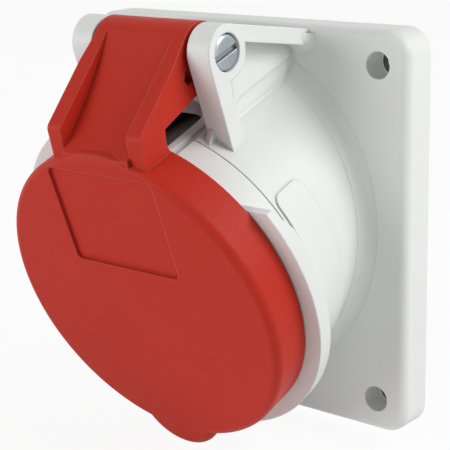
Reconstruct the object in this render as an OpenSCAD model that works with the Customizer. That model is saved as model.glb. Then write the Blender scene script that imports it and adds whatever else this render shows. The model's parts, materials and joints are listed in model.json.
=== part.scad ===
// Inclined panel socket of the pin and sleeve kind, with a spring-closed hinged lid.
// Frame: +Z up, the socket faces -Y, +X is to the right seen from the front.
// The origin is the centre of the flange's back face, which lies on the panel.

/* [Flange] */
// Side of the square flange
flange_w = 84; // [82:1:92]
// Thickness of the flange, panel to front face
flange_t = 8.2; // [7:0.1:10]
// Radius of the flange's corners
flange_corner_r = 5; // [4:0.5:7]
// Rounding of the flange's front edge
flange_edge_r = 2; // [1:0.25:3]
// Distance of the fixing holes from the flange's edge
hole_inset = 7; // [6:0.25:9]
// Diameter of the fixing holes
hole_d = 5.5; // [4.5:0.1:6.5]
// Width of the rim round the gasket recess
rim_w = 2.2; // [1.5:0.1:3]
// Thickness of the flange gasket, which fills its recess
gasket_t = 2; // [1:0.25:3]
// Clearance round the flange gasket
gasket_gap = 0.15; // [0.1:0.05:0.4]
// Depth of the moulding hollows in the flange's corners
core_depth = 2.6; // [1:0.1:3]
// Wall left round the moulding hollows and the hole bosses
core_wall = 2.2; // [1.5:0.1:3]

/* [Dome] */
// Angle by which the socket looks downwards
tilt = 20; // [15:1:25]
// Height at which the socket axis leaves the flange front
axis_z = 0.75; // [-1:0.25:2]
// Distance between the dome's side and the flange's edge
dome_inset = 10; // [9:0.25:12]
// Radius of the fillet where the dome meets the flange
base_fillet = 3; // [1:0.1:4]
// Distance along the axis from the guard rim's front to the line between dome and collar
line_run = 6.9; // [5:0.1:8]
// Width and depth of that line
line_w = 0.2; // [0.15:0.05:0.5]
// Height of the bare name pad on the right of the dome
pad_h = 0.35; // [0.1:0.05:0.5]
// Length of the name pad along the axis
pad_l = 8.4; // [5:0.2:8.6]
// Upper end of the name pad above the axis
pad_top = 18.4; // [14:0.2:20]
// Lower end of the name pad below the axis
pad_bottom = 18; // [10:0.2:20]
// Distance of the name pad behind the line
pad_gap = 1.2; // [0.8:0.1:2]
// Radius of the name pad's corners
pad_corner = 2; // [1:0.25:3]
// How far the tube behind the flange lies inside the dome
rear_step = 0.8; // [0.6:0.1:1]
// Distance along the axis that the tube reaches behind the flange front
rear_l = 14; // [13.5:0.5:18]
// Wall of the tube behind the flange
rear_wall = 1.7; // [1.4:0.1:2]

/* [Collar] */
// Wall of the collar round the hole that takes the plug's shroud
collar_wall = 3.6; // [3.4:0.1:4.2]
// Wall of the collar at its front edge
tip_wall = 1.7; // [1.4:0.1:2]
// How far the collar under the lid lies inside the dome
collar_step = 0.5; // [0.4:0.1:1]
// Distance along the axis from the flange front back to the floor behind the plug's shroud
floor_z = 4; // [2:0.5:5]
// Thickness of that floor
floor_t = 5; // [4:0.5:6]
// Width of the keyway at six o'clock
key_w = 6; // [4:0.5:8]
// Depth of the keyway
key_d = 1.2; // [0.8:0.1:1.4]
// Half width of the notch at the top of the collar
notch_w = 8.2; // [7:0.2:9.2]
// Length of the notch from the guard rim's front
notch_l = 18.6; // [16:0.2:19]
// Radius of the notch's rear corners
notch_corner = 6.4; // [3:0.2:6.8]
// Width of the lip round the notch
lip_w = 1.6; // [1:0.1:1.8]
// Height of that lip above the step
lip_h = 0.6; // [0.4:0.05:0.7]
// Half width of the step round the notch
step_w = 11.2; // [10.8:0.2:12]
// Depth of that step
step_d = 0.8; // [0.4:0.1:1]

/* [Guard rim] */
// How far the guard rim stands out of the dome
guard_out = 5.5; // [4.5:0.25:6.5]
// Thickness of the guard rim at its edge
guard_t = 3.5; // [2.5:0.1:4.5]
// Thickness of the guard rim at its two ends
guard_end_t = 1.7; // [1.2:0.1:2.2]
// Angle of the rim's right end above the horizontal
guard_right = 40; // [30:1:48]
// Angle of the rim's left end above the horizontal
guard_left = 55; // [30:1:58]
// Gap between the rim and the lid
guard_gap = 0.3; // [0.2:0.05:0.5]
// Rise of the rim's sloping back over its fall along the axis
guard_slope = 0.42; // [0.3:0.02:0.6]

/* [Hinge] */
// Height of the hinge above the dome's side
hinge_rise = 13.1; // [12:0.1:15]
// Distance of the hinge along the axis from the flange front
hinge_z = 10.8; // [10:0.2:12]
// Half the gap between the two ears
ear_in = 12.57; // [12.5:0.05:13.5]
// Thickness of an ear
ear_t = 5.4; // [4.5:0.1:6.5]
// Radius of an ear round its eye
eye_r = 5.5; // [5:0.1:6]
// Width of the strut below the eye
strut_w = 3.9; // [3:0.1:5]
// Thickness of the bar from the eye to the flange
bar_t = 3.3; // [2.5:0.1:4]
// Distance of the bar's top from the flange's top edge
bar_inset = 0.8; // [0.6:0.1:2]
// Radius of the fillets where the bar meets the flange
bar_fillet = 2; // [1:0.1:3]
// Thickness of the plate between the strut, the bar and the dome
plate_t = 1.5; // [1.3:0.1:3]
// How far the plate's lower band is sunk
band_d = 0.4; // [0.2:0.05:0.5]
// Height of that band above the dome
band_h = 4; // [3:0.1:5]
// Radius of the fillets at the foot of the plate
plate_fillet = 1.1; // [0.8:0.1:1.5]
// Height of the small gusset in front of the strut's foot
foot_h = 1.7; // [1:0.1:3]
// Length of that gusset along the axis
foot_l = 2.6; // [1.5:0.1:3]
// Width of that gusset
foot_w = 1.3; // [1:0.1:2]
// Radius of the hinge screw's shank
pin_r = 2; // [1.5:0.1:2.4]
// Running clearance of the lid on the shank
pin_gap = 0.05; // [0.03:0.01:0.08]
// Radius of the hinge screw's head
head_r = 3.55; // [3.2:0.05:3.8]
// Height of the hinge screw's head
head_h = 2.2; // [1.5:0.1:2.6]
// Clearance of the head in its hole
head_gap = 0.23; // [0.1:0.01:0.4]
// Depth of the head below the ear's face
head_sunk = 0.9; // [0.3:0.1:1.2]
// Width of the slot in the head
slot_w = 1.2; // [0.6:0.05:1.4]
// Angle of that slot
slot_angle = 20; // [0:1:90]

/* [Lid] */
// Distance along the axis from the flange front to the lid's face
lid_z = 35.8; // [35:0.2:38]
// How far the lid's edge stands out of the dome
lid_lap = 2.1; // [1.9:0.1:2.6]
// Height of the lid from its rim to its face
lid_h = 9.2; // [8.6:0.1:10]
// Thickness of the lid's plate
lid_t = 2.4; // [2:0.1:3]
// Thickness of the lid's skirt
skirt_t = 2; // [1.6:0.1:2.2]
// Rounding of the lid's front edge
lid_edge_r = 1.8; // [1:0.1:2.6]
// Half width of the label recess
label_w = 13.7; // [10:0.1:15]
// Height of the label recess
label_h = 21.8; // [14:0.2:24]
// Distance of the label recess from the lid's upper edge
label_inset = 3.9; // [3:0.1:8]
// Depth of the label recess
label_d = 0.6; // [0.3:0.1:1]
// Radius of the label recess's corners
label_corner = 1.2; // [0.5:0.1:3]
// Radius of the finger tab at the bottom
tab_r = 10.5; // [8:0.25:13]
// How far the finger tab stands out of the lid
tab_out = 3.8; // [2:0.1:5]
// Thickness of the finger tab
tab_t = 4.6; // [2:0.1:6]
// Height of the two ribs' front corners above the lid's edge
rib_rise = 4.2; // [3:0.1:6]
// How far those corners lie behind the lid's face
rib_back = 2.1; // [1:0.1:3]
// Rounding of the ribs' front corner
rib_round = 1.8; // [0.5:0.1:2.5]
// Thickness of a rib
rib_t = 3.5; // [2.5:0.1:4]
// Side gap between a rib and its ear
rib_gap = 0.37; // [0.3:0.01:0.6]
// Radius of the lid's knuckle round the hinge
knuckle_r = 5.65; // [5.4:0.05:6]
// Thickness of the web between the ribs, at its middle
web_t = 1.5; // [1.2:0.1:1.6]
// Hollow of the web, at its middle
web_sag = 0.8; // [0.4:0.1:1.5]
// Thickness of the lid's gasket
seal_t = 1.6; // [1:0.1:2]
// Radial width of the lid's gasket
seal_w = 3.8; // [2.5:0.1:4.2]
// Gap between the lid's gasket and the collar
seal_gap = 0.2; // [0.1:0.05:0.4]

/* [Lid spring] */
// Radius of the spring wire
wire_r = 0.4; // [0.3:0.05:0.5]
// Radius of the coil at the middle of the wire
coil_r = 2.75; // [2.65:0.05:2.85]
// Number of turns
coil_turns = 6; // [4:1:8]
// Length of the coil
coil_l = 11; // [9:0.5:13]
// Length of the leg under the lid's web
lid_leg = 13; // [8:0.5:16]

/* [Contacts] */
// Width of the gap round the contact carrier's tower, for the plug's shroud
shroud_gap = 3.4; // [3:0.1:3.8]
// How far the carrier's base stands out of its tower
base_lap = 1; // [0.8:0.1:1.4]
// Distance of the tower's face behind the lid's plate
tower_gap = 9; // [7:0.2:12]
// Thickness of the tower's front wall over the sleeves
face_t = 2; // [1.5:0.1:3]
// Distance of the circle of sleeves from the tower's side
circle_inset = 8.5; // [8:0.1:9.5]
// Radius of the live sleeves' bores
live_r = 2.55; // [2.3:0.05:2.8]
// Radius of the earth sleeve's bore
earth_r = 3.05; // [2.8:0.05:3.2]
// Wall of a sleeve
sleeve_wall = 1.35; // [1:0.05:1.5]
// Thickness of a sleeve's spring ring
ring_t = 0.7; // [0.4:0.05:0.8]
// Length of a spring ring along its sleeve
ring_l = 3.2; // [2:0.1:5]
// Length of the slits in a sleeve
slit_l = 14; // [10:0.5:18]
// Width of the slits
slit_w = 0.8; // [0.5:0.05:1]
// Thickness of the carrier's base
base_t = 4; // [3:0.25:5]
// Depth of the terminal block behind the carrier
block_l = 14; // [12:0.5:18]
// How far the terminal block lies inside the tower's side
block_inset = 0.6; // [0:0.1:0.8]
// Radius of the wire entries
wire_hole_r = 1.9; // [1.4:0.1:2.2]
// How far a wire entry sits off its sleeve's axis, which leaves more thread for the clamp screw
wire_off = 1.3; // [1:0.1:1.4]
// Radius of a clamp screw's shank
clamp_r = 1.6; // [1.3:0.05:1.9]
// Clearance between the parts that fit into each other
fit_gap = 0.1; // [0.05:0.05:0.2]

/* [Hidden] */
$fn = 96;
fine_fn = 360;

grey = [0.88, 0.89, 0.88];
red = [0.72, 0.13, 0.10];
dark = [0.20, 0.21, 0.22];
black = [0.10, 0.10, 0.10];
brass = [0.80, 0.78, 0.70];
steel = [0.55, 0.60, 0.64];

// A small overlap that keeps cuts clear of the faces they pass
over = 1;
// Straight edges pass this far inside the rounds that they run into
touch_in = 0.05;
// The socket is longer than this on neither side of the flange
reach = 120;

half_w = flange_w / 2;
recess_half = half_w - rim_w;
hole_r = hole_d / 2;
hole_at = half_w - hole_inset;
dome_r = half_w - dome_inset;
rear_r = dome_r - rear_step;
bore_r = dome_r - collar_wall;
tip_r = bore_r + tip_wall;
collar_r = dome_r - collar_step;
guard_r = dome_r + guard_out;
lid_r = dome_r + lid_lap;
hinge_y = dome_r + hinge_rise;
tower_r = bore_r - shroud_gap;
circle_r = tower_r - circle_inset;
block_r = tower_r - block_inset;
bar_z = half_w - bar_inset;
rim_z = lid_z - lid_h - guard_gap;
line_z = rim_z - line_run;
notch_z = rim_z - notch_l;
lid_rim_z = lid_z - lid_h;
lid_in_z = lid_z - lid_t;
collar_z = lid_in_z - seal_t - seal_gap;
tower_z = lid_in_z - tower_gap;
lid_in_r = lid_r - skirt_t;
ear_out = ear_in + ear_t;
rib_out = ear_in - rib_gap;
rib_in = rib_out - rib_t;
floor_back = -floor_z - floor_t;
base_back = floor_back - base_t;
block_back = base_back - fit_gap - block_l;
rear_in_r = rear_r - rear_wall;
base_r = tower_r + base_lap;

// Contacts in clockwise order from the front, with earth at six o'clock
POLES = ["pe", "l1", "l2", "l3", "n"];
function pole_angle(k) = -90 - search([k], POLES)[0] * 360 / len(POLES);
function pole_r(k) = k == "pe" ? earth_r : live_r;
function sleeve_r(k) = pole_r(k) + sleeve_wall;
function chamber_r(k) = sleeve_r(k) + ring_t + 2 * fit_gap;

// Points in the plane of the hinge bracket: [along the axis frame's y, z] to [row y, row z]
function to_row(p) = [
  -flange_t - p[0] * sin(tilt) - p[1] * cos(tilt),
  axis_z + p[0] * cos(tilt) - p[1] * sin(tilt)
];
// Row height of the line that lies a given distance above the socket axis, at row y
function above_axis(y, d) = axis_z + (flange_t + y) * tan(tilt) + d / cos(tilt);
// Point where the line from p touches the circle of radius r about c: side 1 is left of c seen from p, -1 right
function tangent(p, c, r, side) = let(
  d = norm(c - p),
  a = atan2(c[1] - p[1], c[0] - p[0]),
  b = asin(r / d),
  l = sqrt(d * d - r * r)
) p + l * [cos(a + side * b), sin(a + side * b)];
function unit(v) = v / norm(v);
function left_of(v) = [-v[1], v[0]];
// Points of an arc of radius r that rounds the corner p between a and b
corner_steps = 8;
function rounded(a, p, b, r) = let(
  u = unit(a - p),
  v = unit(b - p),
  half = acos(u * v) / 2,
  c = p + unit(u + v) * r / sin(half),
  from = p + u * r / tan(half) - c,
  to = p + v * r / tan(half) - c,
  start = atan2(from[1], from[0]),
  turn = (atan2(to[1], to[0]) - start + 540) % 360 - 180
) [for (i = [0 : corner_steps]) let(t = start + turn * i / corner_steps) c + r * [cos(t), sin(t)]];

hinge_row = to_row([hinge_y, hinge_z]);
hinge_at = [hinge_y, hinge_z];

// Puts children that are drawn about the socket axis into the row frame
module in_socket() {
  translate([0, -flange_t, axis_z])
    rotate([90 + tilt, 0, 0])
      children();
}

// Extrudes an outline drawn in [y, z] along x, from x0 to x1
module across(x0, x1) {
  translate([x0, 0, 0])
    rotate([90, 0, 90])
      linear_extrude(x1 - x0)
        children();
}

// Extrudes an outline drawn in [x, z] from the panel towards the front, from depth y0 to y1
module from_panel(y0, y1) {
  translate([0, -y0, 0])
    rotate([90, 0, 0])
      linear_extrude(y1 - y0)
        children();
}

module both_sides() {
  children();
  mirror([1, 0, 0])
    children();
}

module tube(r_out, r_in, z0, z1) {
  translate([0, 0, z0])
    difference() {
      cylinder(r = r_out, h = z1 - z0);
      translate([0, 0, -over])
        cylinder(r = r_in, h = z1 - z0 + 2 * over);
    }
}

module rounded_square(half, r) {
  square([2 * half, 2 * (half - r)], center = true);
  square([2 * (half - r), 2 * half], center = true);
  for (sx = [-1, 1], sy = [-1, 1])
    translate([sx * (half - r), sy * (half - r)])
      circle(r);
}

module rounded_rect(x0, x1, y0, y1, r) {
  translate([x0, y0 + r])
    square([x1 - x0, y1 - y0 - 2 * r]);
  translate([x0 + r, y0])
    square([x1 - x0 - 2 * r, y1 - y0]);
  for (x = [x0 + r, x1 - r], y = [y0 + r, y1 - r])
    translate([x, y])
      circle(r);
}

module at_holes() {
  for (sx = [-1, 1], sz = [-1, 1])
    translate([sx * hole_at, 0, sz * hole_at])
      children();
}

// Flange

// Section of the flange's edge, from a given inner line to its outer face
module edge_section(w) {
  square([w - flange_edge_r, flange_t]);
  square([w, flange_t - flange_edge_r]);
  translate([w - flange_edge_r, flange_t - flange_edge_r])
    circle(flange_edge_r);
}

module slab_section() {
  edge_section(half_w);
  mirror([1, 0])
    edge_section(half_w);
}

module flange_plate() {
  inner = half_w - flange_corner_r;
  rotate([90, 0, 0]) {
    for (turn = [0, 90])
      rotate([0, 0, turn])
        translate([0, inner, 0])
          rotate([90, 0, 0])
            linear_extrude(2 * inner)
              slab_section();
    for (sx = [-1, 1], sy = [-1, 1])
      translate([sx * inner, sy * inner, 0])
        rotate_extrude()
          edge_section(flange_corner_r);
  }
}

// Concave fillet between the leaning dome and the flange front
fillet_steps = 6;
fillet_sides = 64;
fillet_lip = 0.06;
fillet_arc = 80;
function fillet_ring(h, o) = [
  for (i = [0 : fillet_sides - 1])
    let(a = 360 * (i + 0.5) / fillet_sides)
      [(dome_r + o) * cos(a), -flange_t - h, axis_z - h * tan(tilt) + (dome_r / cos(tilt) + o) * sin(a)]
];
// Solid through rings with equal numbers of points, each drawn anticlockwise seen from the last ring
module loft(rings) {
  n = len(rings[0]);
  last = len(rings) - 1;
  polyhedron(
    points = [for (r = rings) each r],
    faces = [
      [for (i = [0 : n - 1]) i],
      [for (i = [n - 1 : -1 : 0]) last * n + i],
      for (k = [0 : last - 1], i = [0 : n - 1])
        let(a = k * n + i, b = k * n + (i + 1) % n)
          each [[a, b + n, b], [a, a + n, b + n]]
    ]
  );
}

module base_skirt() {
  loft([
    fillet_ring(-over, base_fillet + over / 2),
    for (k = [0 : fillet_steps])
      let(a = 90 - fillet_arc * k / fillet_steps)
        fillet_ring(base_fillet * (1 - sin(a)) + fillet_lip, base_fillet * (1 - cos(a)) + fillet_lip),
    fillet_ring(base_fillet + fillet_lip, -over)
  ]);
}

// Dome, collar and guard rim, about the socket axis

module name_pad() {
  front = line_z - pad_gap;
  intersection() {
    cylinder(r = dome_r + pad_h, h = line_z);
    across(over, reach)
      rounded_rect(-pad_bottom, pad_top, front - pad_l, front, pad_corner);
  }
}

// Section of the guard rim swept round the axis, past its right end, which is cut off level
module guard_sweep() {
  spare = guard_right / 3;
  difference() {
    rotate([0, 0, 180 - guard_left])
      rotate_extrude(angle = 180 + guard_left + guard_right + spare)
        children();
    translate([0, dome_r * sin(guard_right), 0])
      cube([reach, reach, reach]);
  }
}

module guard_rim() {
  root = tower_r;
  back_z = rim_z - guard_t;
  end_z = rim_z - guard_end_t;
  root_z = line_z - (dome_r - root) * (back_z - line_z) / (guard_r - dome_r);
  guard_sweep()
    translate([root, end_z])
      square([guard_r - root, guard_end_t]);
  // The rim's back slopes down to the line on the dome, and runs out towards its ends
  intersection() {
    guard_sweep()
      polygon([
        [root, end_z + guard_end_t / 2], [guard_r, end_z + guard_end_t / 2], [guard_r, back_z], [root, root_z]
      ]);
    translate([0, dome_r * sin(guard_right) - over / 2, end_z])
      rotate([atan(guard_slope), 0, 0])
        translate([-reach / 2, -reach, 0])
          cube([reach, reach, reach]);
  }
}

module collar_outside() {
  shell_z = rim_z - guard_end_t / 3;
  rotate_extrude()
    polygon([
      [0, -reach / 2], [dome_r, -reach / 2], [dome_r, shell_z],
      [collar_r, shell_z], [collar_r, rim_z], [tip_r, collar_z], [0, collar_z]
    ]);
}

// Step and notch at the top of the collar, with a lip round the notch
lip_z = notch_z - lip_w;
step_z = lip_z - lip_w / 2;
// Outline of the notch in [x, z], grown by a given width
module notch_plan(grow) {
  w = notch_w + grow;
  r = notch_corner + grow;
  z = notch_z - grow;
  translate([-w, z + r])
    square([2 * w, reach]);
  translate([r - w, z])
    square([2 * (w - r), 2 * r]);
  for (s = [-1, 1])
    translate([s * (w - r), z + r])
      circle(r);
}

// Extrudes an outline drawn in [x, z] along y, outwards from inside the collar's wall
module through_wall() {
  from_panel(-reach, -tower_r)
    children();
}

module collar_notch() {
  through_wall()
    notch_plan(0);
}

module notch_lip() {
  floor_r = dome_r - step_d;
  intersection() {
    tube(floor_r + lip_h, floor_r - lip_h, lip_z - over, rim_z - guard_end_t / 2);
    through_wall()
      notch_plan(lip_w);
  }
}

module collar_step() {
  intersection() {
    tube(guard_r, dome_r - step_d, step_z, rim_z + over);
    translate([-step_w, 0, 0])
      cube([2 * step_w, reach, reach]);
  }
}

module socket_bore() {
  translate([0, 0, -floor_z])
    cylinder(r = bore_r, h = reach);
  translate([0, 0, -reach])
    cylinder(r = tower_r + fit_gap, h = reach);
  translate([0, 0, floor_back - reach])
    cylinder(r = rear_in_r, h = reach);
  // Keyway at six o'clock
  translate([-key_w / 2, -bore_r - key_d, -floor_z])
    cube([key_w, bore_r, reach]);
  carrier_screw_at()
    translate([0, 0, floor_back - over])
      cylinder(r = carrier_screw_r + fit_gap, h = floor_t);
}

// Hinge brackets, in row [y, z] planes

ear_front_z = hinge_z + eye_r;
bar_foot = [-flange_t, bar_z];
bar_touch = tangent(bar_foot, hinge_row, eye_r - touch_in, -1);
bar_dir = unit(bar_foot - bar_touch);
bar_down = -left_of(bar_dir);
foot_y = bore_r * cos(asin(ear_in / bore_r)) - over;
plate_x = ear_in + plate_t;
band_x = plate_x - band_d;
// Height of the dome above the axis where the plate stands
dome_top = sqrt(dome_r * dome_r - plate_x * plate_x);
band_y = dome_top + band_h;
strut_z = ear_front_z - strut_w / 2;

// Flare at the bar's end: its sections grow outwards and downwards towards the flange
flare_core = 1.5 * over;
function flare_ring(h, g) = let(
  y = -flange_t - h,
  low = bar_z + bar_down[1] * bar_t,
  top = bar_z - bar_inset
) [
  [band_x, y, low - g],
  for (k = [0 : fillet_steps])
    let(a = -90 + 90 * k / fillet_steps)
      [ear_out - flare_core + (g + flare_core) * cos(a), y, low + flare_core + (g + flare_core) * sin(a)],
  [ear_out + g, y, top],
  [band_x, y, top]
];
module bar_flare() {
  loft([
    flare_ring(-over, bar_fillet + over / 2),
    for (k = [0 : fillet_steps])
      let(a = 90 - fillet_arc * k / fillet_steps)
        flare_ring(bar_fillet * (1 - sin(a)) + fillet_lip, bar_fillet * (1 - cos(a)) + fillet_lip),
    flare_ring(bar_fillet + fillet_lip, -over)
  ]);
}

module ear_bar() {
  end = bar_foot + bar_dir * (flange_edge_r + over);
  polygon([bar_touch, end, end + bar_down * bar_t, bar_touch + bar_down * bar_t]);
}

module ear_strut() {
  polygon([
    to_row([foot_y, ear_front_z]),
    to_row([hinge_y, ear_front_z]),
    to_row([hinge_y, ear_front_z - strut_w]),
    to_row([foot_y, ear_front_z - strut_w])
  ]);
}

module ear_frame() {
  translate(hinge_row)
    circle(eye_r);
  ear_bar();
  ear_strut();
}

// Area between the strut, the bar, the dome and the flange, which reaches a given depth into the last two
module plate_area(deep) {
  polygon([
    hinge_row,
    to_row([foot_y - deep, strut_z]),
    [deep, above_axis(deep, foot_y - deep)],
    [deep, bar_z - bar_t / 2],
    bar_touch + bar_down * bar_t / 2
  ]);
}

// The lower part of that area, whose upper edge runs along the axis and dips at the strut
module band_area() {
  dip = eye_r;
  polygon([
    to_row([band_y - dip, strut_z]),
    to_row([band_y, strut_z - 2 * strut_w]),
    to_row([band_y, -reach]),
    to_row([0, -reach]),
    to_row([0, strut_z])
  ]);
}

// Fillet along the foot of the plate on the dome, drawn about the axis
module foot_fillet() {
  at = plate_fillet - touch_in;
  x = band_x + at;
  y = sqrt(pow(dome_r + at, 2) - x * x);
  inside = (dome_r - over) / (dome_r + at);
  translate([0, 0, -reach / 4])
    linear_extrude(reach / 4 + strut_z)
      difference() {
        polygon([[ear_in + band_d, y], [x, y], [x, y] * inside, [ear_in + band_d, y * inside]]);
        translate([x, y])
          circle(plate_fillet);
      }
}

// Fillet between the plate and the flange front, from one height to another
module flange_fillet(z0, z1) {
  at = plate_fillet - touch_in;
  translate([band_x + at, -flange_t - at, z0])
    linear_extrude(z1 - z0)
      difference() {
        translate([-plate_fillet, 0])
          square([at, plate_fillet]);
        circle(plate_fillet);
      }
}

// Small gusset in front of the strut's foot
module foot_gusset() {
  y = sqrt(dome_r * dome_r - ear_in * ear_in);
  polygon([[y + foot_h, ear_front_z], [y - over, ear_front_z + foot_l], [y - over, strut_z], [y + foot_h, strut_z]]);
}

module ear() {
  plate_foot = above_axis(-flange_t, dome_top);
  difference() {
    across(ear_in, ear_out) {
      ear_frame();
      plate_area(0);
    }
    across(plate_x, ear_out + over)
      difference() {
        plate_area(over);
        ear_frame();
      }
    across(band_x, ear_out + over)
      difference() {
        band_area();
        ear_frame();
      }
  }
  in_socket() {
    foot_fillet();
    across(ear_in + band_d, ear_in + band_d + foot_w)
      foot_gusset();
  }
  flange_fillet(plate_foot, bar_z - bar_t / 2);
  bar_flare();
}

module hinge_axis() {
  translate([0, hinge_row[0], hinge_row[1]])
    rotate([0, 90, 0])
      children();
}

// The left ear's hole ends inside it
blind_wall = 1;
module hinge_holes() {
  hinge_axis() {
    translate([0, 0, -ear_out + blind_wall])
      cylinder(r = pin_r + pin_gap, h = 2 * ear_out);
    translate([0, 0, ear_out - head_sunk - head_h])
      cylinder(r = head_r + head_gap, h = reach);
  }
}

module housing_outside() {
  intersection() {
    union() {
      in_socket() {
        collar_outside();
        name_pad();
        guard_rim();
      }
      base_skirt();
      both_sides()
        ear();
    }
    // What stands on the flange ends inside it
    translate([-reach, -2 * reach - flange_t / 2, -reach])
      cube(2 * reach);
  }
  flange_plate();
  in_socket()
    translate([0, 0, -rear_l])
      cylinder(r = rear_r, h = rear_l + over);
}

module corner_cores() {
  end = recess_half - core_wall;
  start = hole_at / 2;
  difference() {
    from_panel(gasket_t - over, gasket_t + core_depth)
      for (sx = [-1, 1], sz = [-1, 1])
        scale([sx, sz])
          translate([start, start])
            square(end - start);
    at_holes()
      rotate([90, 0, 0])
        cylinder(r = hole_r + core_wall, h = flange_t);
    in_socket()
      translate([0, 0, -reach / 2])
        cylinder(r = rear_r + core_wall, h = reach);
  }
}

module gasket_recess(gap) {
  difference() {
    from_panel(-over, gasket_t)
      rounded_square(recess_half - gap, flange_corner_r - rim_w);
    in_socket()
      translate([0, 0, -reach / 2])
        cylinder(r = rear_r + gap, h = reach);
  }
}

module housing() {
  color(grey)
    difference() {
      union() {
        difference() {
          housing_outside();
          in_socket() {
            collar_step();
            tube(dome_r + over, dome_r - line_w, line_z - 2 * line_w, line_z - line_w);
          }
        }
        in_socket()
          notch_lip();
      }
      in_socket() {
        socket_bore();
        collar_notch();
      }
      hinge_holes();
      gasket_recess(0);
      corner_cores();
      at_holes()
        rotate([90, 0, 0])
          translate([0, 0, -over])
            cylinder(r = hole_r, h = flange_t + 2 * over);
    }
}

module flange_gasket() {
  color(black)
    difference() {
      intersection() {
        gasket_recess(gasket_gap);
        from_panel(0, gasket_t)
          square(flange_w, center = true);
      }
      at_holes()
        rotate([90, 0, 0])
          translate([0, 0, -over])
            cylinder(r = hole_r, h = flange_t);
    }
}

// Contact insert

module at_pole(k) {
  rotate([0, 0, pole_angle(k)])
    translate([circle_r, 0, 0])
      children();
}

carrier_screw_r = 1.3;
carrier_head_r = 2;
carrier_head_h = 1.6;
carrier_screw_l = 7;
carrier_screw_circle = base_r + fit_gap + carrier_screw_r;
module carrier_screw_at() {
  for (s = [-1, 1])
    translate([s * carrier_screw_circle, 0, 0])
      children();
}

block_screw_r = 1.5;
block_screw_head_r = 2.8;
block_screw_head_h = 2;
block_screw_l = 20;

shoulder_t = 2;
shoulder_w = 1;
end_wall = 1;
ring_inset = 1;
ring_slot = 1.2;
function shoulder_r(k) = chamber_r(k) + shoulder_w;

module contact_carrier() {
  color(dark)
    in_socket()
      difference() {
        union() {
          translate([0, 0, base_back])
            cylinder(r = tower_r, h = tower_z - base_back);
          translate([0, 0, base_back])
            cylinder(r = base_r, h = base_t);
        }
        for (k = POLES)
          at_pole(k) {
            translate([0, 0, base_back - over])
              cylinder(r = chamber_r(k), h = tower_z - face_t - base_back + over);
            translate([0, 0, base_back - over])
              cylinder(r = shoulder_r(k) + fit_gap, h = shoulder_t + fit_gap + over);
            translate([0, 0, base_back])
              cylinder(r = pole_r(k) + 2 * fit_gap, h = reach);
          }
        translate([0, 0, block_back + block_screw_head_h])
          cylinder(r = block_screw_r + fit_gap, h = block_screw_l + over);
      }
}

// A turned sleeve with slits in front, a collar at the carrier's back and a clamp end behind it
module contact(k) {
  r = sleeve_r(k);
  front = tower_z - face_t - fit_gap;
  end_r = chamber_r(k);
  color(brass)
    in_socket()
      at_pole(k)
        difference() {
          union() {
            translate([0, 0, base_back])
              cylinder(r = r, h = front - base_back);
            translate([0, 0, base_back])
              cylinder(r = shoulder_r(k), h = shoulder_t);
            translate([0, 0, block_back + end_wall])
              cylinder(r = end_r, h = base_back - block_back - end_wall);
          }
          translate([0, 0, floor_back])
            cylinder(r = pole_r(k), h = reach);
          translate([-slit_w / 2, -reach / 2, front - slit_l])
            cube([slit_w, reach, reach]);
          translate([-wire_off, 0, block_back])
            cylinder(r = wire_hole_r, h = block_l - 2 * end_wall);
          clamp_axis()
            cylinder(r = clamp_r + fit_gap / 2, h = reach);
        }
}

// The clamp screw's axis, from the sleeve's axis outwards
module clamp_axis() {
  translate([0, 0, base_back - block_l / 2])
    rotate([0, 90, 0])
      children();
}

module spring_ring(k) {
  r = sleeve_r(k) + fit_gap / 2;
  front = tower_z - face_t - ring_inset;
  color(steel)
    in_socket()
      at_pole(k)
        difference() {
          tube(r + ring_t, r, front - ring_l, front);
          translate([0, -ring_slot / 2, 0])
            cube([reach, ring_slot, reach]);
        }
}

clamp_head_r = 2.4;
clamp_head_h = 1.8;
clamp_slot = 0.8;
module terminal_block() {
  color(dark)
    in_socket()
      difference() {
        translate([0, 0, block_back])
          cylinder(r = block_r, h = block_l);
        for (k = POLES)
          at_pole(k) {
            translate([0, 0, block_back + end_wall - fit_gap])
              cylinder(r = chamber_r(k) + fit_gap, h = reach);
            translate([-wire_off, 0, block_back - over])
              cylinder(r = wire_hole_r + fit_gap, h = end_wall + 2 * over);
            clamp_axis()
              cylinder(r = clamp_head_r + 2 * fit_gap, h = reach);
          }
        translate([0, 0, block_back - over])
          cylinder(r = block_screw_head_r + fit_gap, h = block_screw_head_h + over);
        translate([0, 0, block_back - over])
          cylinder(r = block_screw_r + fit_gap, h = reach);
      }
}

// A slotted cheese-head screw along +z, with its head's face at z = 0 and its shank below
module slotted_screw(r, r_head, h_head, l, slot) {
  difference() {
    union() {
      translate([0, 0, -h_head])
        cylinder(r = r_head, h = h_head);
      translate([0, 0, -h_head - l])
        cylinder(r = r, h = l + h_head / 2);
    }
    translate([-slot / 2, -2 * r_head, -h_head / 2])
      cube([slot, 4 * r_head, h_head]);
  }
}

module terminal_screws() {
  color(steel)
    in_socket()
      for (k = POLES)
        at_pole(k) {
          seat = chamber_r(k) + fit_gap;
          clamp_axis()
            translate([0, 0, seat + clamp_head_h])
              slotted_screw(clamp_r, clamp_head_r, clamp_head_h, seat - wire_hole_r + wire_off, clamp_slot);
        }
}

module carrier_screws() {
  color(steel)
    in_socket()
      carrier_screw_at()
        translate([0, 0, base_back - carrier_head_h])
          mirror([0, 0, 1])
            slotted_screw(carrier_screw_r, carrier_head_r, carrier_head_h, carrier_screw_l, clamp_slot);
}

module block_screw() {
  color(steel)
    in_socket()
      translate([0, 0, block_back])
        mirror([0, 0, 1])
          slotted_screw(block_screw_r, block_screw_head_r, block_screw_head_h, block_screw_l, clamp_slot);
}

// Hinge screw, lid spring and lid

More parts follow.
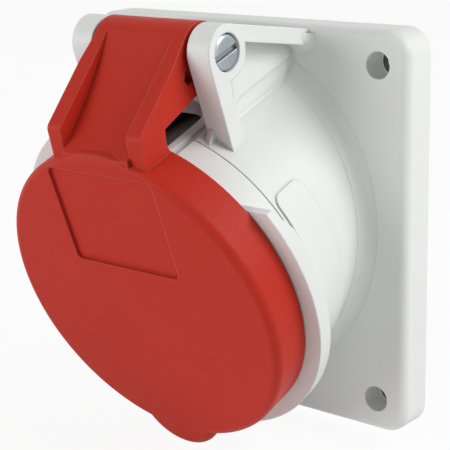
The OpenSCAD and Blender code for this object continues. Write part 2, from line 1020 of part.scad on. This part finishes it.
hinge_screw_l = 2 * (ear_out - blind_wall) - head_sunk - head_h;
module hinge_screw() {
  color(steel)
    hinge_axis()
      translate([0, 0, ear_out - head_sunk])
        rotate([0, 0, slot_angle])
          slotted_screw(pin_r, head_r, head_h, hinge_screw_l, slot_w);
}

// Sizes of the lid's arm: the knee where a rib's lower edge leaves the skirt, and the waist of that edge
// below the knuckle
knee_out = 2.5;
knee_rise = 0.6;
waist_in = 1.4;
waist_z = 5.2;
// Outline points of the lid's arm in [y, z] about the socket axis
rib_corner = [lid_r + rib_rise, lid_z - rib_back];
rib_touch = tangent(rib_corner, hinge_at, knuckle_r - touch_in, 1);
// The web runs off the lid's rounded edge and on to the knuckle
edge_at = [lid_r - lid_edge_r, lid_z - lid_edge_r];
web_out = unit(tangent(edge_at, hinge_at, knuckle_r - lid_edge_r, 1) - hinge_at);
web_touch = hinge_at + web_out * (knuckle_r - touch_in);
web_foot = edge_at + web_out * (lid_edge_r - touch_in);
web_dir = unit(web_foot - web_touch);
web_in = left_of(web_dir);
arm_low = [hinge_y - knuckle_r, hinge_z];
arm_knee = [lid_r + knee_out, lid_rim_z];
arm_waist = [hinge_y - knuckle_r - waist_in, hinge_z + waist_z];
root_y = sqrt(lid_in_r * lid_in_r - rib_out * rib_out) - over;

// The spring is one wire: a leg on the dome, the coil round the shank, and a leg under the web
spring_sides = 8;
turn_steps = 16;
leg_steps = 3;
house_leg = hinge_y - sqrt(dome_r * dome_r - coil_l * coil_l / 4) - seal_gap;
coil_start = -180;
// The wire leaves the coil square to its last radius and then runs along the web
coil_end = atan2(web_dir[1], web_dir[0]) - 180 + 360 * coil_turns;
function coil_point(t) = let(a = coil_start + t * (coil_end - coil_start)) [
  coil_l * (t - 0.5), hinge_y + coil_r * cos(a + 90), hinge_z + coil_r * sin(a + 90)
];
spring_path = [
  for (i = [leg_steps : -1 : 1])
    coil_point(0) - [0, house_leg * i / leg_steps, 0],
  for (i = [0 : coil_turns * turn_steps])
    coil_point(i / (coil_turns * turn_steps)),
  for (i = [1 : leg_steps])
    coil_point(1) + [0, web_dir[0], web_dir[1]] * lid_leg * i / leg_steps
];
// Round wire along a path that nowhere runs along x
module wire(path, r, sides) {
  n = len(path);
  rings = [
    for (i = [0 : n - 1])
      let(
        t = unit(path[min(i + 1, n - 1)] - path[max(i - 1, 0)]),
        s = unit(cross(t, [1, 0, 0])),
        b = cross(t, s)
      )
        [for (k = [0 : sides - 1]) let(a = 360 * k / sides) path[i] + r * (cos(a) * s + sin(a) * b)]
  ];
  loft(rings);
}

module lid_spring() {
  color(steel)
    in_socket()
      wire(spring_path, wire_r, spring_sides);
}

module rib_outline() {
  difference() {
    union() {
      root = [root_y, lid_z - rib_back / 2];
      polygon([
        root, each rounded(root, rib_corner, rib_touch, rib_round), rib_touch, hinge_at, arm_low, arm_waist,
        arm_knee, [lid_r, lid_rim_z + knee_rise], [root_y, lid_rim_z]
      ]);
      translate(hinge_at)
        circle(knuckle_r);
    }
    translate(hinge_at)
      circle(pin_r + pin_gap);
  }
}

// The web runs from the knuckle to the lid's edge with a slight hollow
module web_outline() {
  chord = norm(web_foot - web_touch);
  hollow_r = chord * chord / (8 * web_sag) + web_sag / 2;
  shell_in = knuckle_r - web_t;
  under = web_in * (web_t + web_sag);
  difference() {
    union() {
      polygon([
        web_touch, web_foot, [root_y, lid_z - touch_in], [root_y, lid_rim_z],
        web_foot + under, web_touch + under
      ]);
      translate(hinge_at)
        circle(knuckle_r);
    }
    translate((web_touch + web_foot) / 2 - web_in * (hollow_r - web_sag))
      circle(hollow_r, $fn = fine_fn);
    translate(hinge_at)
      circle(shell_in);
    polygon([
      hinge_at, web_touch + under, web_foot + under, [root_y, lid_rim_z],
      [foot_y, hinge_z - 2 * knuckle_r], [hinge_y + knuckle_r / 2, hinge_z - 2 * knuckle_r]
    ]);
  }
}

// Window through a rib near the ear's front edge
window_w = 3;
window_h = 3;
window_cut = 1.3;
module arm_window() {
  low = hinge_y - knuckle_r + waist_in;
  front = hinge_z + knuckle_r + window_h / 2;
  polygon([
    [low, front - window_h], [low, front - window_cut / 2], [low + window_cut, front],
    [low + window_w, front - window_h / 2], [low + window_w, front - window_h]
  ]);
}

// The ribs' outsides fall back towards the knuckle's boss, clear of the ears
boss_r = 4;
taper_r = 9.5;
set_back = 0.8;
module rib_taper() {
  rotate_extrude()
    polygon([[boss_r, over], [boss_r, -set_back], [taper_r, 0], [taper_r, over]]);
}

module lid_arms() {
  difference() {
    both_sides()
      across(rib_in, rib_out)
        rib_outline();
    both_sides() {
      translate([rib_out, hinge_y, hinge_z])
        rotate([0, 90, 0])
          rib_taper();
      across(rib_in - over, rib_out + over)
        arm_window();
    }
  }
  across(-rib_in, rib_in)
    web_outline();
}

module lid_section() {
  difference() {
    union() {
      translate([0, lid_rim_z])
        square([lid_r - lid_edge_r, lid_h]);
      translate([0, lid_rim_z])
        square([lid_r, lid_h - lid_edge_r]);
      translate([lid_r - lid_edge_r, lid_z - lid_edge_r])
        circle(lid_edge_r);
    }
    translate([-over, lid_rim_z - over])
      square([lid_in_r + over, lid_h - lid_t + over]);
  }
}

// The tab is a smaller disc with the same rounded edge
module finger_tab() {
  top = lid_z - touch_in;
  translate([0, tab_r - lid_r - tab_out, 0])
    rotate_extrude() {
      translate([0, top - tab_t])
        square([tab_r - lid_edge_r, tab_t]);
      translate([0, top - tab_t])
        square([tab_r, tab_t - lid_edge_r]);
      translate([tab_r - lid_edge_r, top - lid_edge_r])
        circle(lid_edge_r);
    }
}

module lid() {
  label_high = lid_r - label_inset;
  color(red)
    in_socket()
      difference() {
        union() {
          rotate_extrude()
            lid_section();
          difference() {
            union() {
              lid_arms();
              finger_tab();
            }
            translate([0, 0, lid_rim_z - reach])
              cylinder(r = lid_in_r, h = lid_in_z - lid_rim_z + reach);
          }
        }
        translate([0, 0, lid_z - label_d])
          linear_extrude(over + label_d)
            rounded_rect(-label_w, label_w, label_high - label_h, label_high, label_corner);
      }
}

module lid_gasket() {
  r = lid_in_r - gasket_gap;
  color(black)
    in_socket()
      tube(r, r - seal_w, lid_in_z - seal_t, lid_in_z);
}

housing();
flange_gasket();
contact_carrier();
terminal_block();
contact("l1");  // contact_l1
contact("l2");  // contact_l2
contact("l3");  // contact_l3
contact("n");  // contact_n
contact("pe");  // contact_pe
spring_ring("l1");  // spring_ring_l1
spring_ring("l2");  // spring_ring_l2
spring_ring("l3");  // spring_ring_l3
spring_ring("n");  // spring_ring_n
spring_ring("pe");  // spring_ring_pe
terminal_screws();
carrier_screws();
block_screw();
hinge_screw();
lid_spring();
lid();
lid_gasket();
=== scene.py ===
import json
import math

import bmesh
import bpy
from mathutils import Matrix, Vector


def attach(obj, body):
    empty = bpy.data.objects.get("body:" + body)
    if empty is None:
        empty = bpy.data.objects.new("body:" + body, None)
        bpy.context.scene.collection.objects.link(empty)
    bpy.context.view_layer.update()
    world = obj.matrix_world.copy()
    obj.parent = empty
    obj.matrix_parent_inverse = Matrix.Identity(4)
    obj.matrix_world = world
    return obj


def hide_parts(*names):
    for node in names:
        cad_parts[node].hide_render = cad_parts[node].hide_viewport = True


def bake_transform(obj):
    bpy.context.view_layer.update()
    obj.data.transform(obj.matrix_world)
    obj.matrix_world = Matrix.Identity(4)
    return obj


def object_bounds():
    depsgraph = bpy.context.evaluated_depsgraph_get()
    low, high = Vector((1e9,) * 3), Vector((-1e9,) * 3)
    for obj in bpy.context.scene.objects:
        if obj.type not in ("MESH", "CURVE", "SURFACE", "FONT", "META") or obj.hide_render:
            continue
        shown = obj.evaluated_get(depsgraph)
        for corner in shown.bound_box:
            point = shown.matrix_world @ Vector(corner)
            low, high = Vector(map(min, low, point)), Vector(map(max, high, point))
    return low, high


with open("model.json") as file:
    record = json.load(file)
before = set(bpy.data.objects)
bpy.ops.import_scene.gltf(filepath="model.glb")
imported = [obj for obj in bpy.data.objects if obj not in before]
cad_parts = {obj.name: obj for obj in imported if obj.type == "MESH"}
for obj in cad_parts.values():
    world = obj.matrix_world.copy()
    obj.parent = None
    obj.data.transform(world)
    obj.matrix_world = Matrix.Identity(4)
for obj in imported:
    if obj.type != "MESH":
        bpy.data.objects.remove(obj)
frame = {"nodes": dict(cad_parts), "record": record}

CAD_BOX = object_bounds()
MM = 0.001
RECORD = frame["record"]
HINGE = Vector(RECORD["behaviour"]["joints"][0]["pos_m"])
# How far the socket leans out of its flange
TILT = math.radians(20)

# Camera, fitted to the photograph: angles in degrees, lengths in mm, focal length in pixels
IMAGE_PX = 450
SENSOR = 36
CAMERA_TURN = 39.56
CAMERA_HEIGHT = 15.0
CAMERA_ROLL = -1.37
CAMERA_DISTANCE = 287.12
CAMERA_AIM = Vector((0, -20, 0))
CAMERA_RIGHT = 3.84
CAMERA_UP = -0.04
FOCAL_PX = 1354.77
CLIP_START = 10

# Lid spring: the same sizes as its solid, in mm, and the direction of its leg under the web in degrees
WIRE_R = 0.4
COIL_R = 2.75
COIL_TURNS = 6
COIL_LENGTH = 11
HOUSE_LEG = 13.36
LID_LEG = 13
LEG_TURN = 127.24
WIRE_SIDES = 12
STEPS_PER_TURN = 40

# Edges that turn by more than this are drawn sharp
SHARP = math.radians(35)

# Hinge screw: its shank is that of the solid and its head the photograph's, in mm along the hinge
PIN_R = 2
PIN_START = -15.97
HEAD_START = 14.87
SLOT_FLOOR = 16.85
HEAD_EDGE = 17.55
HEAD_TOP = 17.95
HEAD_R = 3.5
HEAD_CHAMFER = 0.45
SLOT_WIDTH = 1.2
SLOT_TURN = math.radians(20)
ROUND_SIDES = 64

# Corner of each hinge bracket between eye, strut and plate, in mm: from side to side of the bracket,
# and its outline along and out from the hinge
CORNER_SPAN = (12.59, 17.96)
CORNER_OUTLINE = ((-3.9, 0.69), (-3.9, 3.4), (-12, 3.5), (-12, 2.11))

# Arch of the lid's round edge over the foot of the web, in mm: half its width, how far and how late
# its ends sink, the hinge's place from the socket's centre, and its section as radius and height
ARCH_SPAN = 9.2
ARCH_STEPS = 24
ARCH_SINK = 1.3
ARCH_FALL = 8
HINGE_ALONG = 45.1
HINGE_OUT = 10.8
ARCH_ROOT = 31.9
ARCH_TOP = ((ARCH_ROOT, 35.79), (32.6, 35.79), (33.95, 35.31))
ARCH_ROUND = ((34.3, 35.05), (34.47, 34.73), (34.5, 34.3))
ARCH_FOOT = ((34.5, 33.4), (ARCH_ROOT, 33.6))
ARCH_SECTION = ARCH_TOP + ARCH_ROUND + ARCH_FOOT

# Studio: the floor's width in metres, its colour and its share of real light, and the world's light
FLOOR_SIZE = 6
FLOOR_WHITE = 0.9
FLOOR_ROUGH = 0.9
SHADOW_SHARE = 0.07
WORLD_LIGHT = 0.21
WHITE = 1.0

# Lamps: name, place and width in metres, power in watts; both look at the same point
LAMPS = (
    ("key_right", (0.60, 0.16, 0.47), 0.5, 4.5),
    ("fill_left", (-0.40, -0.72, 0.16), 0.6, 3.75),
)
LAMP_AIM = Vector((0, -0.02, 0))

# Noise of each kind of material, in cells per metre: drift of the colour, roughness, grain
PLASTIC_SCALES = (60, 240, 2600)
METAL_SCALES = (300, 900, 4000)
RUBBER_SCALES = (200, 500, 1800)
DRIFT_DETAIL = 3.0
GRAIN_DETAIL = 2.0
GRAIN_STRENGTH = 0.6
METAL_GRAIN = 0.01
PLASTIC_IOR = 1.5

# Painted highlights on outer edges, painted shade in inner corners and slots: reaches in mm, shares from 0
# to 1
NEAR_SAMPLES = 8
EDGE_GAIN = 5.0
EDGE_REACH = 1.5
CORNER_LEVEL = 0.75
EDGE_SHARE = 0.7
CORNER_START = 0.97
CORNER_SHARE = 0.8
SLOT_REACH = 1.5
SLOT_GAIN = 1.2
SLOT_SHADE = (0.10, 0.11, 0.115)


# Nodes

def node(tree, kind, **inputs):
    made = tree.nodes.new(kind)
    for name, value in inputs.items():
        made.inputs[name.replace("_", " ")].default_value = value
    return made


def math_node(tree, operation, first, second):
    """One operation on two values or outputs, held between 0 and 1."""
    made = node(tree, "ShaderNodeMath")
    made.operation = operation
    made.use_clamp = True
    for socket, value in zip(made.inputs, (first, second)):
        if isinstance(value, float):
            socket.default_value = value
        else:
            tree.links.new(value, socket)
    return made.outputs[0]


def colour_mix(tree, share):
    """A mix of two colours by a share that varies from place to place: both inputs and the result."""
    mix = node(tree, "ShaderNodeMix")
    mix.data_type = "RGBA"
    tree.links.new(share, mix.inputs["Factor"])
    first, second = [s for s in mix.inputs if s.type == "RGBA"]
    result = next(s for s in mix.outputs if s.type == "RGBA")
    return first, second, result


def noise(tree, scale, detail):
    """Noise in the object's own coordinates, which are metres."""
    place = node(tree, "ShaderNodeTexCoord")
    made = node(tree, "ShaderNodeTexNoise", Scale=scale, Detail=detail)
    tree.links.new(place.outputs["Object"], made.inputs["Vector"])
    return made.outputs["Fac"]


def openness(tree, reach):
    """How open a place is within a reach in mm: 1 on a free face, less in a corner or slot."""
    made = node(tree, "ShaderNodeAmbientOcclusion", Distance=reach * MM)
    made.samples = NEAR_SAMPLES
    made.only_local = True
    return made.outputs["AO"]


# Materials

def new_material(name, base, roughness, metallic=0.0):
    mat = bpy.data.materials.new(name)
    mat.use_nodes = True
    shader = mat.node_tree.nodes["Principled BSDF"]
    shader.inputs["Base Color"].default_value = (*base, 1)
    shader.inputs["Roughness"].default_value = roughness
    shader.inputs["Metallic"].default_value = metallic
    return mat, shader


def vary_colour(tree, shader, dark, light, scale):
    """Slow drift of the colour between two shades."""
    first, second, result = colour_mix(tree, noise(tree, scale, DRIFT_DETAIL))
    first.default_value = (*dark, 1)
    second.default_value = (*light, 1)
    tree.links.new(result, shader.inputs["Base Color"])


def vary_roughness(tree, shader, low, high, scale):
    span = node(tree, "ShaderNodeMapRange", To_Min=low, To_Max=high)
    tree.links.new(noise(tree, scale, DRIFT_DETAIL), span.inputs["Value"])
    tree.links.new(span.outputs["Result"], shader.inputs["Roughness"])


def grain(tree, shader, scale, depth, edge):
    """Fine grain over edges rounded by a small radius, both in mm; gives the rounded normal."""
    bevel = node(tree, "ShaderNodeBevel", Radius=edge * MM)
    bevel.samples = NEAR_SAMPLES
    bump = node(tree, "ShaderNodeBump", Strength=GRAIN_STRENGTH, Distance=depth * MM)
    tree.links.new(noise(tree, scale, GRAIN_DETAIL), bump.inputs["Height"])
    tree.links.new(bevel.outputs["Normal"], bump.inputs["Normal"])
    tree.links.new(bump.outputs["Normal"], shader.inputs["Normal"])
    return bevel.outputs["Normal"]


def tint(tree, shader, colour, share):
    """Mixes a colour over the base colour by a share."""
    base = shader.inputs["Base Color"]
    first, second, result = colour_mix(tree, share)
    tree.links.new(base.links[0].from_socket, first)
    second.default_value = (*colour, 1)
    tree.links.new(result, base)


def paint_edge_highlight_and_corner_shade(tree, shader, rounded, edge_highlight, corner_shade):
    """Paints a highlight on outer edges, where the rounded normal leaves the face's own, and paints shade
    into inner corners.
    """
    near = openness(tree, EDGE_REACH)
    face = node(tree, "ShaderNodeNewGeometry")
    dot = node(tree, "ShaderNodeVectorMath")
    dot.operation = "DOT_PRODUCT"
    tree.links.new(rounded, dot.inputs[0])
    tree.links.new(face.outputs["True Normal"], dot.inputs[1])
    bend = math_node(tree, "SUBTRACT", 1.0, dot.outputs["Value"])
    edge = math_node(tree, "MULTIPLY", bend, EDGE_GAIN)
    free = math_node(tree, "SUBTRACT", near, CORNER_LEVEL)
    outer = math_node(tree, "MULTIPLY", free, 1 / (1 - CORNER_LEVEL))
    share = math_node(tree, "MULTIPLY", edge, outer)
    # Painted highlight on outer edges, kept out of corners
    tint(tree, shader, edge_highlight, math_node(tree, "MULTIPLY", share, EDGE_SHARE))
    inner = math_node(tree, "SUBTRACT", CORNER_START, near)
    # Painted shade in inner corners
    tint(tree, shader, corner_shade, math_node(tree, "MULTIPLY", inner, CORNER_SHARE))


def vary(tree, shader, scales, dark, light, rough, grain_depth, edge):
    """Drift of colour and roughness, grain and rounded edges; gives the rounded normal."""
    drift, patch, fine = scales
    vary_colour(tree, shader, dark, light, drift)
    vary_roughness(tree, shader, *rough, patch)
    return grain(tree, shader, fine, grain_depth, edge)


def plastic(name, dark, light, rough, shine, grain_depth, edge, edge_highlight, corner_shade):
    mat, shader = new_material(name, light, sum(rough) / 2)
    tree = mat.node_tree
    shader.inputs["IOR"].default_value = PLASTIC_IOR
    shader.inputs["Specular IOR Level"].default_value = shine
    rounded = vary(tree, shader, PLASTIC_SCALES, dark, light, rough, grain_depth, edge)
    paint_edge_highlight_and_corner_shade(tree, shader, rounded, edge_highlight, corner_shade)
    return mat


def metal(name, dark, light, rough, edge):
    mat, shader = new_material(name, light, sum(rough) / 2, metallic=1.0)
    tree = mat.node_tree
    vary(tree, shader, METAL_SCALES, dark, light, rough, METAL_GRAIN, edge)
    # Painted shade in slots and narrow recesses
    deep = math_node(tree, "SUBTRACT", 1.0, openness(tree, SLOT_REACH))
    tint(tree, shader, SLOT_SHADE, math_node(tree, "MULTIPLY", deep, SLOT_GAIN))
    return mat


def rubber(name, base, dark, light, rough, grain_depth, edge):
    mat, shader = new_material(name, base, sum(rough) / 2)
    vary(mat.node_tree, shader, RUBBER_SCALES, dark, light, rough, grain_depth, edge)
    return mat


# Each plastic's last two colours are a painted edge highlight and painted shade for inner corners
MATERIALS = {
    "housing_grey": plastic(
        "housing_grey", dark=(0.76, 0.78, 0.76), light=(0.80, 0.815, 0.80), rough=(0.40, 0.50), shine=0.4,
        grain_depth=0.012, edge=0.45, edge_highlight=(0.90, 0.91, 0.90), corner_shade=(0.30, 0.305, 0.30)),
    "lid_red": plastic(
        "lid_red", dark=(0.48, 0.024, 0.011), light=(0.52, 0.029, 0.014), rough=(0.42, 0.54), shine=0.16,
        grain_depth=0.14, edge=0.5, edge_highlight=(0.62, 0.10, 0.08), corner_shade=(0.20, 0.008, 0.003)),
    "insert_dark": plastic(
        "insert_dark", dark=(0.31, 0.313, 0.315), light=(0.36, 0.363, 0.365), rough=(0.45, 0.6), shine=0.4,
        grain_depth=0.02, edge=0.25, edge_highlight=(0.42, 0.423, 0.425), corner_shade=(0.15, 0.15, 0.15)),
    "gasket_black": rubber(
        "gasket_black", base=(0.03, 0.03, 0.03), dark=(0.022, 0.022, 0.023), light=(0.035, 0.035, 0.036),
        rough=(0.7, 0.9), grain_depth=0.05, edge=0.2),
    "contact_brass": metal(
        "contact_brass", dark=(0.66, 0.60, 0.48), light=(0.74, 0.69, 0.58), rough=(0.22, 0.34), edge=0.1),
    "spring_steel": metal(
        "spring_steel", dark=(0.46, 0.47, 0.49), light=(0.55, 0.56, 0.58), rough=(0.25, 0.38), edge=0.05),
    "screw_steel": metal(
        "screw_steel", dark=(0.40, 0.45, 0.48), light=(0.50, 0.55, 0.58), rough=(0.28, 0.42), edge=0.2),
}


def paint(obj, mat):
    obj.data.materials.clear()
    obj.data.materials.append(mat)


def paint_cad():
    for part in RECORD["subparts"]:
        paint(frame["nodes"][part["node"]], MATERIALS[part["material_slot"]])


# Points and skins of the new pieces

def from_socket(x, along, out):
    """A point about the hinge in the socket's own directions, in mm, as a point in the frame."""
    back = -along * math.sin(TILT) - out * math.cos(TILT)
    up = along * math.cos(TILT) - out * math.sin(TILT)
    return HINGE + Vector((x, back, up)) * MM


def on_hinge(x, y, z):
    """A point about the hinge in the frame's own directions, in mm."""
    return HINGE + Vector((x, y, z)) * MM


def loft(mesh, rings):
    """One closed skin over a row of rings, with a flat face at each end."""
    rows = [[mesh.verts.new(p) for p in ring] for ring in rings]
    for low, high in zip(rows, rows[1:]):
        for k in range(len(low)):
            after = (k + 1) % len(low)
            mesh.faces.new((low[k], low[after], high[after], high[k]))
    mesh.faces.new(rows[0][::-1])
    mesh.faces.new(rows[-1])


def new_piece(name, skins, slot):
    """A piece made of closed skins, smooth but for its sharp edges, with the finish of a material slot."""
    mesh = bmesh.new()
    for rings in skins:
        loft(mesh, rings)
    bmesh.ops.recalc_face_normals(mesh, faces=mesh.faces)
    data = bpy.data.meshes.new(name)
    mesh.to_mesh(data)
    mesh.free()
    data.shade_smooth()
    data.set_sharp_from_angle(angle=SHARP)
    obj = bpy.data.objects.new(name, data)
    bpy.context.collection.objects.link(obj)
    paint(obj, MATERIALS[slot])
    return obj


# Lid spring as a smooth round wire

def spring_path(leg_turn):
    """Leg on the dome, coil, and leg under the lid's web, whose direction is leg_turn."""
    start = -math.pi
    end = leg_turn - math.pi + 2 * math.pi * COIL_TURNS

    def coil(t):
        a = start + t * (end - start) + math.pi / 2
        return COIL_LENGTH * (t - 0.5), COIL_R * math.cos(a), COIL_R * math.sin(a)

    steps = COIL_TURNS * STEPS_PER_TURN
    first, last = coil(0), coil(1)
    path = [(first[0], first[1] - HOUSE_LEG, first[2])]
    path += [coil(i / steps) for i in range(steps + 1)]
    path.append((last[0], last[1] + LID_LEG * math.cos(leg_turn), last[2] + LID_LEG * math.sin(leg_turn)))
    return [from_socket(*p) for p in path]


def wire_rings(path, radius, sides):
    turns = [2 * math.pi * k / sides for k in range(sides)]
    rings = []
    for i, at in enumerate(path):
        along = (path[min(i + 1, len(path) - 1)] - path[max(i - 1, 0)]).normalized()
        side = along.cross(Vector((1, 0, 0))).normalized()
        over = along.cross(side)
        rings.append([at + radius * (math.cos(a) * side + math.sin(a) * over) for a in turns])
    return rings


def make_spring():
    rings = wire_rings(spring_path(math.radians(LEG_TURN)), WIRE_R * MM, WIRE_SIDES)
    spring = new_piece("lid_spring_wire", [rings], "spring_steel")
    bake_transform(spring)
    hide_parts("lid_spring")


# Hinge screw with a chamfered, slotted head

def ring_at(x, radius, turns):
    return [on_hinge(x, radius * math.cos(a), radius * math.sin(a)) for a in turns]


def round_ring(x, radius):
    return ring_at(x, radius, [2 * math.pi * k / ROUND_SIDES for k in range(ROUND_SIDES)])


def half_ring(x, radius, start):
    """The part of a circle on one side of the slot."""
    low = math.asin(SLOT_WIDTH / 2 / radius)
    count = ROUND_SIDES // 2
    turns = [low + (math.pi - 2 * low) * k / count for k in range(count + 1)]
    return ring_at(x, radius, [a + SLOT_TURN + start for a in turns])


def make_hinge_screw():
    top_r = HEAD_R - HEAD_CHAMFER
    stem = [(PIN_START, PIN_R), (HEAD_START, PIN_R), (HEAD_START, HEAD_R), (SLOT_FLOOR, HEAD_R)]
    halves = [(SLOT_FLOOR, HEAD_R), (HEAD_EDGE, HEAD_R), (HEAD_TOP, top_r)]
    skins = [[round_ring(*level) for level in stem]]
    skins += [[half_ring(*level, start) for level in halves] for start in (0, math.pi)]
    screw = new_piece("hinge_screw_slotted", skins, "screw_steel")
    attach(screw, "housing")
    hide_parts("hinge_screw")


# Corners of the hinge brackets

def make_bracket_corners():
    """Closes the corner between eye, strut and plate on both brackets."""
    skins = []
    for side in (-1, 1):
        skins.append([[from_socket(side * x, *p) for p in CORNER_OUTLINE] for x in CORNER_SPAN])
    corners = new_piece("bracket_corners", skins, "housing_grey")
    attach(corners, "housing")


# Round edge of the lid over the web

def arch_ring(x):
    """The arch's section at one place across the web; it sinks into the lid at both ends."""
    sunk = ARCH_SINK * (x / ARCH_SPAN)**ARCH_FALL
    ring = []
    for radius, out in ARCH_SECTION:
        along = math.sqrt(max(radius - sunk, ARCH_ROOT)**2 - x**2)
        ring.append(from_socket(x, along - HINGE_ALONG, out - HINGE_OUT))
    return ring


def make_lid_edge():
    """Carries the lid's round edge on between the ribs, over the foot of the web."""
    rows = [ARCH_SPAN * (2 * k / ARCH_STEPS - 1) for k in range(ARCH_STEPS + 1)]
    edge = new_piece("lid_edge", [[arch_ring(x) for x in rows]], "lid_red")
    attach(edge, "lid")


# Studio: floor, world, lamps and camera

def seen_rays(tree):
    """1 for rays from the camera, also by way of metal or glass, and 0 for the light on the object."""
    rays = node(tree, "ShaderNodeLightPath")
    seen = rays.outputs["Is Camera Ray"]
    for name in ("Is Glossy Ray", "Is Transmission Ray"):
        seen = math_node(tree, "MAXIMUM", seen, rays.outputs[name])
    return seen


def show_white(tree, lit, white, share, target):
    """Shows a white shader in place of the lit one, by a share."""
    mix = node(tree, "ShaderNodeMixShader")
    tree.links.new(share, mix.inputs["Fac"])
    tree.links.new(lit.outputs[0], mix.inputs[1])
    tree.links.new(white.outputs[0], mix.inputs[2])
    tree.links.new(mix.outputs[0], tree.nodes[target].inputs["Surface"])


def make_floor(level):
    half = FLOOR_SIZE / 2
    corners = [(-half, -half, level), (half, -half, level), (half, half, level), (-half, half, level)]
    data = bpy.data.meshes.new("floor")
    data.from_pydata(corners, [], [(0, 1, 2, 3)])
    floor = bpy.data.objects.new("floor", data)
    bpy.context.collection.objects.link(floor)
    mat, lit = new_material("floor_white", (FLOOR_WHITE,) * 3, FLOOR_ROUGH)
    tree = mat.node_tree
    white = node(tree, "ShaderNodeEmission", Strength=WHITE)
    share = math_node(tree, "MULTIPLY", seen_rays(tree), 1 - SHADOW_SHARE)
    show_white(tree, lit, white, share, "Material Output")
    paint(floor, mat)


def make_world():
    world = bpy.data.worlds.new("studio")
    bpy.context.scene.world = world
    world.use_nodes = True
    tree = world.node_tree
    lit = tree.nodes["Background"]
    lit.inputs["Color"].default_value = (1, 1, 1, 1)
    lit.inputs["Strength"].default_value = WORLD_LIGHT
    white = node(tree, "ShaderNodeBackground", Color=(1, 1, 1, 1), Strength=WHITE)
    show_white(tree, lit, white, seen_rays(tree), "World Output")


def make_lamp(name, place, size, power):
    data = bpy.data.lights.new(name, "AREA")
    data.shape = "DISK"
    data.size = size
    data.energy = power
    lamp = bpy.data.objects.new(name, data)
    bpy.context.collection.objects.link(lamp)
    lamp.location = place
    aim = LAMP_AIM - Vector(place)
    lamp.rotation_euler = aim.to_track_quat("-Z", "Y").to_euler()


def make_camera():
    turn, height, roll = (math.radians(v) for v in (CAMERA_TURN, CAMERA_HEIGHT, CAMERA_ROLL))
    flat = math.cos(height)
    back = Vector((math.sin(turn) * flat, -math.cos(turn) * flat, math.sin(height)))
    level = (-back).cross(Vector((0, 0, 1))).normalized()
    rise = level.cross(-back)
    right = level * math.cos(roll) + rise * math.sin(roll)
    up = rise * math.cos(roll) - level * math.sin(roll)
    place = CAMERA_AIM + CAMERA_RIGHT * right + CAMERA_UP * up + CAMERA_DISTANCE * back
    data = bpy.data.cameras.new("camera")
    data.sensor_width = SENSOR
    data.lens = FOCAL_PX / IMAGE_PX * SENSOR
    data.clip_start = CLIP_START * MM
    camera = bpy.data.objects.new("camera", data)
    bpy.context.collection.objects.link(camera)
    turned = Matrix((right, up, back)).transposed().to_4x4()
    camera.matrix_world = Matrix.Translation(place * MM) @ turned
    bpy.context.scene.camera = camera


paint_cad()
make_spring()
make_hinge_screw()
make_bracket_corners()
make_lid_edge()
make_floor(CAD_BOX[0].z)
make_world()
for lamp in LAMPS:
    make_lamp(*lamp)
make_camera()
bpy.context.scene.view_settings.view_transform = "Standard"
